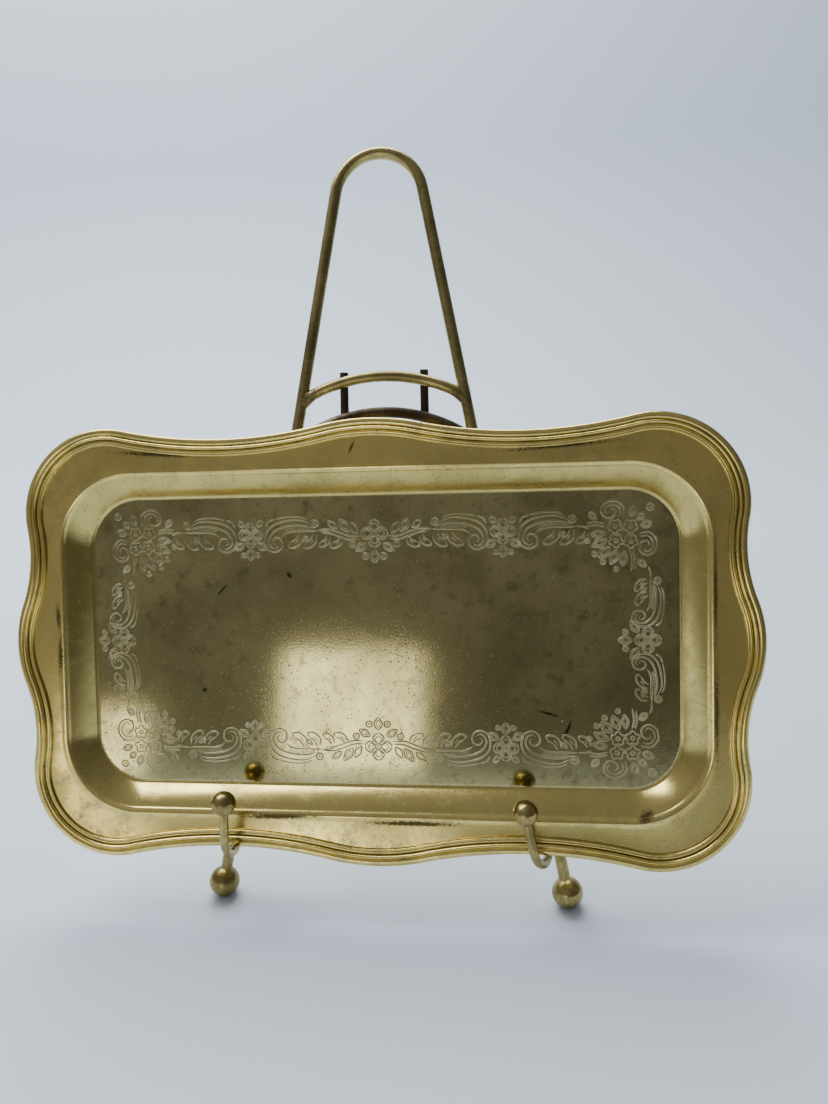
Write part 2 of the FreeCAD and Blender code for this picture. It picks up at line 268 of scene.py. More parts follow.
def well_brass(name, streaks):
    """The dull floor of the well: olive tarnish, fine pits and pale specks, wiped patches."""
    paint = Paint(name)
    place = paint.flat_place()
    clouds = paint.step(paint.noise(place, 0.022, 5, 0.6), 0.38, 0.66)
    blotch = paint.step(paint.noise(place, 0.12, 5, 0.65), 0.5, 0.72)
    colour = paint.blend(clouds, WELL_BRIGHT, WELL_CLOUDED)
    colour = paint.blend(paint.times(blotch, 0.7), colour, WELL_BLOTCH)
    some = paint.step(paint.noise(place, 0.09, 3), 0.38, 0.60)
    large = paint.step(paint.cells(place, 0.42), 0.10, 0.23, 1.0, 0.0)
    small = paint.step(paint.cells(place, 0.95), 0.10, 0.20, 0.8, 0.0)
    both = paint.maths("MAXIMUM", large, small)
    pits = paint.times(both, some)
    fine = paint.step(paint.noise(place, 1.1, 3, 0.7), 0.62, 0.72)
    colour = paint.blend(paint.times(fine, 0.6), colour, SPECK)
    colour = paint.blend(pits, colour, WELL_PIT)
    pale_cells = paint.cells(place, 0.23)
    pale = paint.step(pale_cells, 0.08, 0.16, 1.0, 0.0)
    colour = paint.blend(paint.times(pale, 0.55), colour, WELL_PALE)
    marks = paint.strongest([paint.spot(place, *mark) for mark in streaks])
    colour = paint.blend(marks, colour, BLACK)
    rough = paint.plus(paint.times(clouds, 0.04), 0.075)
    rough = paint.plus(rough, paint.times(blotch, 0.05))
    rough = paint.plus(rough, paint.times(fine, 0.2))
    rough = paint.maths("MAXIMUM", rough, paint.times(pits, 0.55))
    relief = paint.maths("SUBTRACT", paint.noise(place, 0.9, 4, 0.6), pits)
    paint.bump(relief, 0.035, 0.0003)
    return paint.finish(colour, rough)


def antique_brass(name, dark, worn, wear_from, rough_low, rough_high):
    """Easel metal: dark patina with brass worn through in patches. Its noise is per metre."""
    paint = Paint(name)
    place = paint.add("TexCoord").outputs["Object"]
    patches = paint.noise(place, 24.0, 5, 0.6)
    grain = paint.noise(place, 420.0, 4, 0.65)
    worn_through = paint.plus(patches, paint.times(grain, 0.3))
    wear = paint.step(worn_through, wear_from, wear_from + WEAR_RANGE)
    flecks = paint.step(paint.noise(place, 900.0, 3, 0.7), 0.60, 0.72)
    colour = paint.blend(wear, dark, worn)
    colour = paint.blend(paint.times(flecks, 0.6), colour, WIRE_FLECK)
    rough = paint.step(wear, 0.0, 1.0, rough_high, rough_low)
    rough = paint.plus(rough, paint.times(flecks, 0.15))
    paint.bump(paint.plus(grain, flecks), 0.12, 0.0002)
    return paint.finish(colour, rough)


# Marks are (middle, radii, turn, raggedness) in the tray's flat frame.
FLANGE_STREAKS = (
    ((-168.0, 14.0), (1.5, 8.0), 3, 0.8),
    ((-167.4, -6.0), (1.7, 12.0), -3, 0.8),
    ((167.2, 24.0), (1.2, 30.0), 0, 0.7),
    ((167.5, -33.0), (1.5, 26.0), 0, 0.7),
    ((-52.0, -89.6), (24.0, 1.7), 1, 0.7),
    ((18.0, -91.6), (30.0, 1.6), 0, 0.8),
    ((-9.0, 99.0), (0.9, 4.6), -28, 0.5),
    ((-110.0, 98.0), (26.0, 1.4), -4, 0.8),
    ((96.0, 97.0), (30.0, 1.3), 4, 0.8),
    ((134.0, -86.0), (5.0, 2.6), 30, 0.8),
)
WELL_STREAKS = (
    ((-93.0, -26.4), (1.7, 1.3), 30, 0.5),
    ((-45.5, 34.4), (1.5, 2.2), 30, 0.6),
    ((-82.0, 27.0), (4.5, 0.7), 48, 0.7),
    ((97.0, -46.0), (1.1, 6.5), -24, 0.7),
    ((88.0, -37.5), (7.0, 0.8), -16, 0.9),
)
tray_polish = polished_brass("polished_sheet_brass", FLANGE_STREAKS)
border_polish = polished_brass("polished_moulding_brass", groove_heights=GROOVE_HEIGHTS)
back_polish = polished_brass("brushed_back_brass")
well_polish = well_brass("tarnished_well_brass", WELL_STREAKS)


def chased_brass(name, low, high, rough):
    """Paint for the chased lines' painted highlight and painted shade, lighter where the sheet was
    rubbed over the years.
    """
    paint = Paint(name)
    place = paint.flat_place()
    rubbed = paint.step(paint.noise(place, 0.06, 4), 0.40, 0.64)
    speck = paint.noise(place, 2.2, 3)
    colour = paint.blend(rubbed, low, high)
    paint.bump(speck, 0.05, 0.0001)
    return paint.finish(colour, paint.plus(paint.times(speck, 0.1), rough))


# The lips are paler than the polished sheet: a painted highlight. The groove is near black: painted
# shade.
lip_painted_highlight = chased_brass("chased_lip_painted_highlight", (0.80, 0.70, 0.38, 1), (0.96, 0.88, 0.56, 1), 0.24)
groove_painted_shade = chased_brass(
    "chased_groove_painted_shade", (0.07, 0.052, 0.022, 1), (0.12, 0.092, 0.036, 1), 0.34)
rod_brass = antique_brass(
    "antiqued_rod_brass", (0.19, 0.15, 0.055, 1), (0.46, 0.37, 0.14, 1), 0.50, 0.24, 0.36)
# A darker copy of the rod brass for the rods behind the tray: painted shade over the patina.
rod_brass_painted_shade = antique_brass(
    "antiqued_brass_with_painted_shade", (0.06, 0.043, 0.027, 1), (0.20, 0.14, 0.075, 1), 0.58, 0.30, 0.46)
ball_brass = antique_brass(
    "antiqued_ball_brass", (0.20, 0.155, 0.055, 1), (0.44, 0.35, 0.125, 1), 0.50, 0.22, 0.36)
braze_brass = antique_brass(
    "braze_filler", (0.13, 0.098, 0.042, 1), (0.36, 0.285, 0.115, 1), 0.52, 0.34, 0.5)


# ----------------------------------------------------------------------- tray outline

# Radii of the scalloped edge, from the top middle to the end of the tray.
CREST, DIP, TURN, SIDE_DIP, SIDE_CREST = 114.9, 244.0, 44.4, 74.4, 60.0
HALF_WIDTH, HALF_HEIGHT = 190.5, 113.5
CREST_TURN, DIP_TURN = math.radians(12.33), math.radians(-12.54)
# Half sizes of the rectangle that the well's rounded corners and wall are set out from.
WELL_CORE = np.array((127.2, 49.9))
FLOOR_EDGE = 25.9
WALL_RUN, WELL_DEPTH = 12.2, 11.0
SHEET = 1.0
BORDER_WIDTH = 9.0
RIM_TOP = 14.4
OUTLINE_STEP = 1.15


def towards(turn):
    return np.array((math.sin(turn), math.cos(turn)))


def quarter_arcs():
    """Centre, signed radius and end angles of the first quarter's arcs, clockwise from the top."""
    crest_centre = np.array((0, HALF_HEIGHT - CREST))
    dip_centre = crest_centre + towards(CREST_TURN) * (CREST + DIP)
    corner_centre = dip_centre - towards(DIP_TURN) * (DIP + TURN)
    end_centre = np.array((HALF_WIDTH - SIDE_CREST, 0))
    base = end_centre - corner_centre
    span = np.linalg.norm(base)
    base /= span
    foot = ((TURN + SIDE_DIP) ** 2 - (SIDE_DIP + SIDE_CREST) ** 2 + span ** 2) / (2 * span)
    rise = math.sqrt((TURN + SIDE_DIP) ** 2 - foot ** 2)
    side_centre = corner_centre + base * foot + np.array((-base[1], base[0])) * rise
    corner_end = math.atan2(*(side_centre - corner_centre))
    side_end = math.atan2(*(side_centre - end_centre))
    return (
        (crest_centre, CREST, 0, CREST_TURN),
        (dip_centre, -DIP, CREST_TURN, DIP_TURN),
        (corner_centre, TURN, DIP_TURN, corner_end),
        (side_centre, -SIDE_DIP, corner_end, side_end),
        (end_centre, SIDE_CREST, side_end, math.pi / 2),
    )


def outline_loop():
    """Points of the scalloped edge and their outward normals, clockwise from the top middle."""
    points, normals = [], []
    for centre, radius, start, end in quarter_arcs():
        count = max(2, round(abs(radius * (end - start)) / OUTLINE_STEP))
        for index in range(count):
            turn = start + (end - start) * index / count
            points.append(centre + towards(turn) * radius)
            normals.append(towards(turn))
    points.append(np.array((HALF_WIDTH, 0.0)))
    normals.append(np.array((1.0, 0.0)))

    def whole(values):
        values = np.array(values)
        down, both, left = np.array((1, -1)), np.array((-1, -1)), np.array((-1, 1))
        return np.concatenate((
            values[:-1], values[:0:-1] * down, values[:-1] * both, values[:0:-1] * left))
    return whole(points), whole(normals)


OUTLINE, NORMALS = outline_loop()


def skin(rings, closed=False):
    """Faces between rings of equal length; each ring closes on itself."""
    count = len(rings[0])
    points = np.concatenate(rings)
    last = len(rings) if closed else len(rings) - 1
    faces = []
    for ring in range(last):
        low, high = ring * count, ((ring + 1) % len(rings)) * count
        for index in range(count):
            after = (index + 1) % count
            faces.append((low + index, low + after, high + after, high + index))
    return points, faces


def with_height(plan, height):
    return np.column_stack((plan, np.broadcast_to(height, len(plan))))


# ------------------------------------------------------------------------- the pressed sheet

FLANGE_RISE = 1.3
SHEET_EDGE = 0.9
WALL_STEPS, SHOULDER_STEPS, FLANGE_STEPS = 14, 10, 10
# Groove and raised line round the floor: (distance from the floor's edge, height).
FLOOR_LINE = ((-1.2, 0.0), (-0.8, 0.0), (-0.55, -0.14), (-0.3, -0.08), (-0.1, 0.22), (0.15, 0.34))
FLOOR_LINE_STEPS_IN_WELL = 2
FLOOR_SHARES = (0.97, 0.88, 0.7, 0.45, 0.2, 0.02)
WALL_FOOT, WALL_FOOT_HEIGHT = 0.35, 0.36
# The wall rises by WALL_STEEP * t - WALL_EASE * t ** 2, so it is steepest at its foot.
WALL_STEEP, WALL_EASE = 1.35, 0.35
SHOULDER_RADIUS = 3.6
SHOULDER_LIFT, SHOULDER_INSIDE = 0.35, 0.42
FLANGE_SLOPE, FLANGE_BEND = 0.3, 0.7
# Halfway up the wall the back moves this share of the thickness outwards, and drops less.
BACK_OUT, BACK_LESS = 0.75, 0.35
SHOULDER_START, SHOULDER_END = math.radians(54), math.radians(-9)


def sheet_section():
    """(share, reach, height) of each ring.

    Reach is the distance from the core out to the shoulder, and share is how far the ring lies
    from there to the sheet's edge.
    """
    rings = [(0, FLOOR_EDGE + offset, height) for offset, height in FLOOR_LINE]
    across = SHOULDER_RADIUS * (math.sin(SHOULDER_START) - math.sin(SHOULDER_END))
    drop = SHOULDER_RADIUS * (1 - math.cos(SHOULDER_START))
    start = FLOOR_EDGE + WALL_FOOT
    end = FLOOR_EDGE + WALL_RUN - across * SHOULDER_INSIDE
    top = WELL_DEPTH + SHOULDER_LIFT - drop
    for step in range(WALL_STEPS + 1):
        t = step / WALL_STEPS
        rise = WALL_STEEP * t - WALL_EASE * t ** 2
        height = WALL_FOOT_HEIGHT + rise * (top - WALL_FOOT_HEIGHT)
        rings.append((0, start + t * (end - start), height))
    for step in range(1, SHOULDER_STEPS + 1):
        turn = SHOULDER_START + (SHOULDER_END - SHOULDER_START) * step / SHOULDER_STEPS
        reach = end + SHOULDER_RADIUS * (math.sin(SHOULDER_START) - math.sin(turn))
        height = top + SHOULDER_RADIUS * (math.cos(turn) - math.cos(SHOULDER_START))
        rings.append((0, reach, height))
    last = rings[-1]
    for step in range(1, FLANGE_STEPS + 1):
        t = step / FLANGE_STEPS
        rise = FLANGE_RISE * (FLANGE_SLOPE * t + FLANGE_BEND * t ** 2)
        rings.append((t, last[1], last[2] + rise))
    return rings


def sheet_rings(lower=0.0):
    """Rings of the sheet's front, or of its back at a depth below the front."""
    edge = OUTLINE - NORMALS * SHEET_EDGE
    core = np.clip(edge, -WELL_CORE, WELL_CORE)
    outward = edge - core
    outward /= np.linalg.norm(outward, axis=1)[:, None]
    rings = []
    for share, reach, height in sheet_section():
        inner = core + outward * reach
        plan = inner * (1 - share) + edge * share
        if lower:
            up_wall = min(max((reach - FLOOR_EDGE) / WALL_RUN, 0.0), 1.0)
            steep = math.sin(math.pi * up_wall)
            plan = plan + outward * lower * BACK_OUT * steep
            height = max(height, 0.0) - lower * (1 - BACK_LESS * steep)
        rings.append(with_height(plan, height))
    return rings


def floor_rings(rim, height):
    """Rings that close the floor from its edge to the middle."""
    return [with_height(rim[:, :2] * share, height) for share in FLOOR_SHARES]


def build_sheet():
    front = sheet_rings()
    back = sheet_rings(SHEET)
    inner_front = floor_rings(front[0], 0.0)
    inner_back = floor_rings(back[0], -SHEET)
    rings = inner_front[::-1] + front + back[::-1] + inner_back
    points, faces = skin(rings)
    count = len(OUTLINE)
    last = len(points) - count
    faces.append(tuple(range(count))[::-1])
    faces.append(tuple(range(last, last + count)))
    item = add_mesh(
        "tray_sheet", points, faces, tray_polish, "tray", hides=["tray_pan"])
    item.data.materials.append(well_polish)
    item.data.materials.append(back_polish)
    floor_faces = count * (len(inner_front) + FLOOR_LINE_STEPS_IN_WELL)
    front_faces = count * (len(inner_front) + len(front) - 1)
    polish_slot, well_slot, back_slot = 0, 1, 2
    marks = np.full(len(faces), polish_slot)
    marks[:floor_faces] = well_slot
    marks[front_faces:] = back_slot
    marks[-2] = well_slot
    item.data.polygons.foreach_set("material_index", marks)


# ---------------------------------------------------------------------- the reeded border

def half_round(start, end, base, top, steps):
    """Section of a bead between two distances from the edge."""
    section = []
    for step in range(steps + 1):
        turn = math.pi * step / steps
        across = (start + end) / 2 - (end - start) / 2 * math.cos(turn)
        section.append((across, base + (top - base) * math.sin(turn)))
    return section


# Points are (distance inwards from the edge, height above the floor).
OUTER_LIP = [
    (0.9, 11.05), (0.3, 11.2), (0.0, 11.7), (0.03, 12.5), (0.25, 13.0), (0.6, 13.32), (1.1, 13.54),
    (1.8, 13.66), (2.5, 13.62), (3.1, 13.44), (3.5, 13.14), (3.72, 12.78), (3.84, 12.72),
]
COVE = [(6.04, 12.72), (6.2, 12.78), (6.5, 12.98), (6.9, 13.06), (7.3, 13.04), (7.55, 12.92)]
UNDERSIDE = [
    (BORDER_WIDTH, 12.2), (BORDER_WIDTH, 11.9), (5.0, 11.8), (2.0, 11.75), (1.3, 11.1),
]
BORDER_SECTION = (
    OUTER_LIP + half_round(3.94, 5.94, 12.74, RIM_TOP, 14)
    + COVE + half_round(7.7, 8.85, 12.86, 13.42, 8) + UNDERSIDE)


def build_border():
    rings = [with_height(OUTLINE - NORMALS * inset, height) for inset, height in BORDER_SECTION]
    points, faces = skin(rings[::-1], closed=True)
    add_mesh(
        "tray_moulding", points, faces, border_polish, "tray", hides=["tray_border"])


# ------------------------------------------------------------------------ the chased band

LINE_STEP = 0.68
LIP = 0.17
# A chased line across its width: (share of the width, height). Both feet stand in the sheet.
LINE_SECTION = (
    (-0.5, -0.06), (-0.34, LIP), (-0.2, LIP), (0.0, 0.02), (0.2, LIP), (0.34, LIP), (0.5, -0.06))
TAPER_RATE, TAPER_START = 6, 0.25
TICK_LENGTH = 0.7


class Chasing:
    """Collects chased lines; each is a groove between two thin raised lips."""

    def __init__(self):
        self.points = []
        self.faces = []
        self.in_groove = []

    def line(self, path, width=1.0, closed=False, taper=True):
        path = even(path, closed)
        count = len(path)
        if count < 3:
            return
        ahead = np.roll(path, -1, axis=0) - np.roll(path, 1, axis=0)
        if not closed:
            ahead[0], ahead[-1] = path[1] - path[0], path[-1] - path[-2]
        ahead /= np.linalg.norm(ahead, axis=1)[:, None] + 1e-9
        side = np.column_stack((-ahead[:, 1], ahead[:, 0]))
        size = np.ones(count)
        if taper and not closed:
            t = np.linspace(0, 1, count)
            size = np.clip(np.minimum(t, 1 - t) * TAPER_RATE + TAPER_START, 0, 1)
        first = len(self.points)
        for index in range(count):
            for across, height in LINE_SECTION:
                spot = path[index] + side[index] * across * width * size[index]
                self.points.append((spot[0], spot[1], height * (0.4 + 0.6 * size[index])))
        wide = len(LINE_SECTION)
        for index in range(count if closed else count - 1):
            low, high = first + index * wide, first + (index + 1) % count * wide
            for strip in range(wide):
                after = (strip + 1) % wide
                self.faces.append((low + strip, low + after, high + after, high + strip))
                self.in_groove.append(1 < strip < wide - 3)
        if not closed:
            last = first + (count - 1) * wide
            self.faces.append(tuple(range(first, first + wide))[::-1])
            self.faces.append(tuple(range(last, last + wide)))
            self.in_groove += [False, False]


def even(path, closed=False):
    """A path with evenly spaced points."""
    path = np.asarray(path, float)
    if closed:
        path = np.vstack((path, path[:1]))
    lengths = np.concatenate(([0], np.cumsum(np.linalg.norm(np.diff(path, axis=0), axis=1))))
    count = max(4, int(lengths[-1] / LINE_STEP) + 1)
    marks = np.linspace(0, lengths[-1], count)
    result = np.column_stack([np.interp(marks, lengths, path[:, axis]) for axis in (0, 1)])
    return result[:-1] if closed else result


def curve(*points, steps=12):
    """A smooth path through points."""
    points = np.array(points, float)
    padded = np.vstack((2 * points[0] - points[1], points, 2 * points[-1] - points[-2]))
    path = []
    for index in range(1, len(padded) - 2):
        p0, p1, p2, p3 = padded[index - 1:index + 3]
        for step in range(steps):
            t = step / steps
            path.append(0.5 * (2 * p1 + (p2 - p0) * t + (2 * p0 - 5 * p1 + 4 * p2 - p3) * t * t
                               + (3 * p1 - p0 - 3 * p2 + p3) * t ** 3))
    path.append(padded[-2])
    return np.array(path)


def circle(centre, radius, start=0, sweep=360, steps=28):
    turns = np.radians(start + np.linspace(0, sweep, steps))
    return np.array(centre) + radius * np.column_stack((np.cos(turns), np.sin(turns)))


class Motif:
    """Draws in its own turned, mirrored and scaled frame."""

    def __init__(self, chasing, place, turn=0, mirror=(1, 1), scale=1.0):
        angle = math.radians(turn)
        spin = np.array(((math.cos(angle), math.sin(angle)), (-math.sin(angle), math.cos(angle))))
        self.matrix = np.diag(mirror) @ spin * scale
        self.place = np.array(place, float)
        self.chasing = chasing

    def inside(self, place, turn=0, mirror=(1, 1), scale=1.0):
        inner = Motif(self.chasing, (0, 0), turn, mirror, scale)
        inner.place = np.array(place, float) @ self.matrix + self.place
        inner.matrix = inner.matrix @ self.matrix
        return inner

    def line(self, path, **settings):
        self.chasing.line(np.asarray(path) @ self.matrix + self.place, **settings)

    def swapped(self):
        """The same place with x and y exchanged."""
        other = self.inside((0, 0))
        other.matrix = np.array(((0, 1), (1, 0))) @ self.matrix
        return other

    def leaf(self, base, tip, width, veins=True):
        """A pointed leaf between two points, with two lines of veins inside it."""
        base, tip = np.array(base, float), np.array(tip, float)
        along = tip - base
        aside = np.array((-along[1], along[0])) / np.linalg.norm(along) * width / 2
        for side in (-1, 1):
            belly = base + along * 0.45 + aside * side
            shoulder = base + along * 0.8 + aside * side * 0.5
            self.line(curve(base, belly, shoulder, tip))
            if veins:
                start, end = base + along * 0.22, base + along * 0.82
                self.line(curve(start, base + along * 0.5 + aside * side * 0.46, end), width=0.6)

    def frond(self, base, tip, bend):
        """A curled acanthus lobe that bulges to one side and turns over at its tip."""
        base, tip = np.array(base, float), np.array(tip, float)
        along = tip - base
        aside = np.array((-along[1], along[0])) * bend

        def at(forward, sideways):
            return base + along * forward + aside * sideways

        hook = tip - along * 0.24 - aside * 0.12
        self.line(curve(base, at(0.32, 0.27), at(0.78, 0.25), tip, hook))
        self.line(curve(at(0.12, -0.16), at(0.45, -0.06), hook), width=0.9)
        self.line(curve(at(0.25, 0.06), at(0.6, 0.1)), width=0.6)

    def berry(self, place, radius):
        self.line(circle(place, radius), closed=True)
        self.line(circle(place, radius * 0.35, steps=12), width=0.6, closed=True)

    def petal(self, length, width):
        """A broad petal with a pointed tip, and a second line inside it."""
        for grow, wide in ((1.0, 1.0), (0.66, 0.7)):
            root, tip, wing = length * 0.24, length * (0.35 + 0.65 * grow), width / 2 * grow
            for side in (-1, 1):
                self.line(curve((side * 0.7 * grow, root), (side * wing, length * 0.56),
                                (side * wing * 0.6, tip - length * 0.14), (0, tip)), width=wide)

    def flower(self, size, ring=1.6):
        """Four petals about a ring with a dot in it."""
        for index in range(4):
            self.inside((0, 0), 90.0 * index).petal(size, size * 3.3 / 4)
        self.line(circle((0, 0), ring), closed=True)
        self.line(circle((0, 0), ring * 0.35, steps=12), width=0.6, closed=True)

    def rosette(self, place):
        """Small flower of five round petals about a ring."""
        inner = self.inside(place)
        for index in range(5):
            turn = math.radians(90 + 72 * index)
            middle = (2.25 * math.cos(turn), 2.25 * math.sin(turn))
            inner.line(circle(middle, 1.3, 72 * index - 20, 220, 16), width=0.85)
        inner.line(circle((0, 0), 0.95, steps=16), width=0.8, closed=True)

    def ticks(self, low, high, count):
        """Fine cross strokes that shade the gap between two lines."""
        low, high = even(low), even(high)
        for index in range(count):
            t = (index + 1) / (count + 1)
            first = low[int(t * (len(low) - 1))]
            second = high[int(t * (len(high) - 1))]
            lean = (second - first) * TICK_LENGTH
            stroke = [first + lean * 0.25, first + lean * 0.6, first + lean]
            self.line(stroke, width=0.5, taper=False)


# The chased motifs are drawn with +x along the band and +y towards the middle of the well.

def scroll(motif, fronds=3):
    """Acanthus scroll leaving a flower at the origin along +x, with a volute beside the flower."""
    outer = curve(
        (32.2, -5.2), (26.9, -7.4), (19.9, -7.2), (12.9, -5.2), (8.9, -1.5), (7.9, 3.0), (9.2, 7.2),
        (12.9, 9.0), (16.4, 7.5), (17.2, 4.2), (15.6, 1.8), (13.0, 2.0), (12.0, 4.2), (13.6, 5.4))
    middle = curve(
        (34.4, -3.0), (27.9, -4.6), (21.9, -4.6), (15.9, -3.2), (11.9, -0.8), (9.9, 3.0),
        (10.9, 6.0), (13.2, 7.2), (15.2, 6.0))
    inner = curve((36.5, -1.8), (28.9, -1.6), (22.9, -1.6), (18.9, -0.6), (16.9, 1.0))
    for path in (outer, middle, inner):
        motif.line(path)
    motif.line(curve((8.2, -4.2), (9.9, -6.8), (13.2, -8.0)), width=0.9)
    motif.line(curve((13.2, -8.0), (20.0, -9.2), (27.0, -9.0), (31.0, -7.4)), width=0.8)
    motif.ticks(curve((32, -3.9), (27.9, -4.6), (21.9, -4.6), (16.4, -3.3)),
                curve((32, -1.7), (28.9, -1.6), (22.9, -1.6), (18.9, -0.6)), 13)
    motif.berry((34.6, -5.6), 1.8)
    lobes = (((28.0, 0.2), (20.4, 6.4)), ((35.4, 0.2), (28.6, 6.8)), ((42.6, 1.2), (36.6, 6.2)))
    for base, tip in lobes[:fronds]:
        motif.frond(base, tip, -1)
    motif.leaf((31.2, 0.6), (27.4, 3.6), 1.6, veins=False)
    motif.line(curve((36.5, -1.8), (40.0, -1.6), (43.0, -0.4)), width=0.9)


def fan(motif, reach=8.4, length=7.2):
    """Three leaves on the well side of a flower."""
    motif.leaf((0, reach), (0, reach + length), 4.4)
    for side in (-1, 1):
        root = np.array((side * 0.5, 0.62)) * reach
        motif.leaf(root, root + np.array((side * 0.84, 0.54)) * length, 3.7)


def middle_spray(motif):
    """Flower in the middle of a long side, with leafy stems to both sides."""
    motif.flower(7.2)
    fan(motif)
    for side in (-1, 1):
        half = motif.inside((0, 0), mirror=(side, 1))
        half.berry((4.8, 11.8), 1.6)
        half.berry((11.6, 5.4), 1.6)
        half.line(curve((7.2, 1.4), (13.0, 1.2), (18.6, -0.8), (24.4, -2.4), (29.5, -2.2)))
        half.line(curve((7.6, 2.8), (13.5, 3.0), (18.5, 1.4), (23.0, -0.2), (28.0, -0.6)))
        half.leaf((9.0, 0.2), (12.6, -6.0), 3.2, veins=False)
        half.leaf((13.2, -0.6), (18.6, -7.8), 4.0)
        half.leaf((19.4, -2.6), (24.6, -6.8), 2.8, veins=False)
        half.frond((16.4, 2.6), (23.6, 6.4), 1)


def second_spray(motif):
    """Smaller flower between two scrolls."""
    motif.flower(6.6, ring=1.5)
    fan(motif, 7.0, 6.4)
    for side in (-1, 1):
        motif.berry((side * 3.9, 10.6), 1.1)
        motif.leaf((side * 3.6, -4.2), (side * 6.4, -7.6), 2.4, veins=False)
        scroll(motif.inside((0, 0), mirror=(side, 1)))


def corner_bouquet(motif):
    """Round bouquet, alike on both sides of the corner's diagonal."""
    for place in ((3.5, 3.5), (-3.7, -3.7), (3.9, -3.7), (-3.7, 3.9)):
        motif.rosette(place)
    motif.leaf((6.4, 6.4), (12.0, 12.0), 4.4)
    motif.leaf((-6.8, -6.8), (-10.4, -10.4), 3.2)
    motif.berry((-13.2, -13.2), 1.7)
    for half in (motif, motif.swapped()):
        half.line(curve(
            (0.2, -7.6), (-0.6, -12.6), (3.2, -16.2), (8.4, -15.6), (10.8, -11.6), (8.6, -8.2),
            (4.8, -8.6), (3.6, -11.6), (6.0, -12.8)))
        half.line(curve(
            (1.6, -8.4), (1.2, -12.0), (3.9, -14.4), (7.4, -14.0), (9.1, -11.4), (7.6, -9.6)),
            width=0.8)
        half.leaf((-3.6, -8.4), (-5.6, -14.4), 3.4)
        half.leaf((7.8, 2.6), (15.6, 6.4), 4.0)
        half.leaf((8.4, -0.6), (16.4, 0.4), 3.4)
        half.berry((14.0, 10.0), 1.2)
        half.berry((17.6, 3.4), 1.1)
        half.line(curve((8.4, -3.4), (13.0, -4.4), (19.0, -3.6)))
        half.line(curve((8.6, -5.0), (13.5, -6.0), (18.0, -5.4)), width=0.85)
        half.leaf((13.0, -7.0), (16.8, -11.2), 3.0)
        half.ticks(curve((9.0, -3.6), (13.0, -4.4), (17.5, -3.9)),
                   curve((9.0, -5.1), (13.5, -6.0), (17.5, -5.5)), 6)


def end_spray(motif):
    """Flower in the middle of a short side, between two small scrolls."""
    motif.flower(6.6, ring=1.5)
    fan(motif, 7.4, 7.4)
    for side in (-1, 1):
        motif.berry((side * 4.3, 11.0), 1.3)
        scroll(motif.inside((0, 0), mirror=(side, 1), scale=0.86), fronds=2)


BAND_HEIGHT = 55.6
SECOND_FLOWER = 66.0
BOUQUET = (125.6, 53.4)
END_FLOWER = 137.3


def build_chasing():
    chasing = Chasing()
    for up in (-1, 1):
        long_side = Motif(chasing, (0, up * BAND_HEIGHT), mirror=(1, -up))
        middle_spray(long_side)
        for right in (-1, 1):
            second_spray(long_side.inside((right * SECOND_FLOWER, 0)))
            corner = (right * BOUQUET[0], up * BOUQUET[1])
            corner_bouquet(Motif(chasing, corner, mirror=(-right, -up)))
    for right in (-1, 1):
        end_spray(Motif(chasing, (right * END_FLOWER, 0), 90, (right, 1)))
    item = add_mesh(
        "chased_border", chasing.points, chasing.faces, lip_painted_highlight, "tray")
    item.data.materials.append(groove_painted_shade)
    # Faces inside each groove take the painted shade, the lips the painted highlight.
    groove_slots = np.array(chasing.in_groove, dtype=int)
    item.data.polygons.foreach_set("material_index", groove_slots)


build_sheet()
build_border()
build_chasing()


# ---------------------------------------------------------------------------- the easel

for node, item in frame["nodes"].items():
    if node.startswith("tray"):
        continue
    # The lower arch, rear leg and hinges take the darker copy of the rod brass: painted shade.
    dark = node in ("lower_arch", "rear_leg") or node.startswith("hinge")
    paint = rod_brass_painted_shade if dark else ball_brass if "ball" in node else rod_brass
    item.data.materials.clear()
    item.data.materials.append(paint)


# Brazing is laid out in the easel's plane: x from its axis, y up from the foot balls, z forwards.
EASEL_TO_TRAY = np.array((5.0, -131.0, -4.3))
LEG_SLOPE = math.radians(10.76)
LEG_ROOT = 91.4
# Name, height of the centre, radius and half sweep in degrees.
ARCHES = (("upper", 182.6, 85.0, 30.0), ("lower", 171.0, 78.0, 36.5))
BAR_HEIGHT, BAR_DEPTH = 221.0, -0.8
BRAZE_AROUND = 36
BRAZE_GRAIN, BRAZE_UNEVEN = 0.55, 0.11
ARCH_RINGS, BAR_RINGS, BEAD_RINGS = 13, 9, 13
ARCH_FILL_SWEEP, ARCH_FILL_DROP = 6.2, 1.3
# Filler stands this far out from the middle of an arch's wire and of the bar.
ARCH_FILL, BAR_FILL = 2.74, 1.97
BAR_FILL_LENGTH = 6.4
FORWARDS = (0, 0, 1)


def braze(name, spine, first, second, widths, depths, body):
    """A run of filler metal: slightly uneven ellipses strung along a spine, closed at both ends."""
    rings = []
    for place, u, v, width, depth in zip(spine, first, second, widths, depths):
        ring = []
        for index in range(BRAZE_AROUND):
            turn = 2 * math.pi * index / BRAZE_AROUND
            over, deep = np.array(u) * width * math.cos(turn), np.array(v) * depth * math.sin(turn)
            spot = np.array(place) + over + deep
            grain = noise.noise(Vector(spot * BRAZE_GRAIN))
            uneven = grain * BRAZE_UNEVEN * min(width, depth) ** 0.5
            outward = spot - np.array(place)
            spot = spot + outward / (np.linalg.norm(outward) + 1e-6) * uneven
            ring.append(spot)
        rings.append(np.array(ring) + EASEL_TO_TRAY)
    points, faces = skin(rings)
    last = len(points) - BRAZE_AROUND
    faces += [tuple(range(BRAZE_AROUND))[::-1], tuple(range(last, last + BRAZE_AROUND))]
    add_mesh(name, points, faces, braze_brass, body)


def leg_x(height):
    return LEG_ROOT - height * math.tan(LEG_SLOPE)


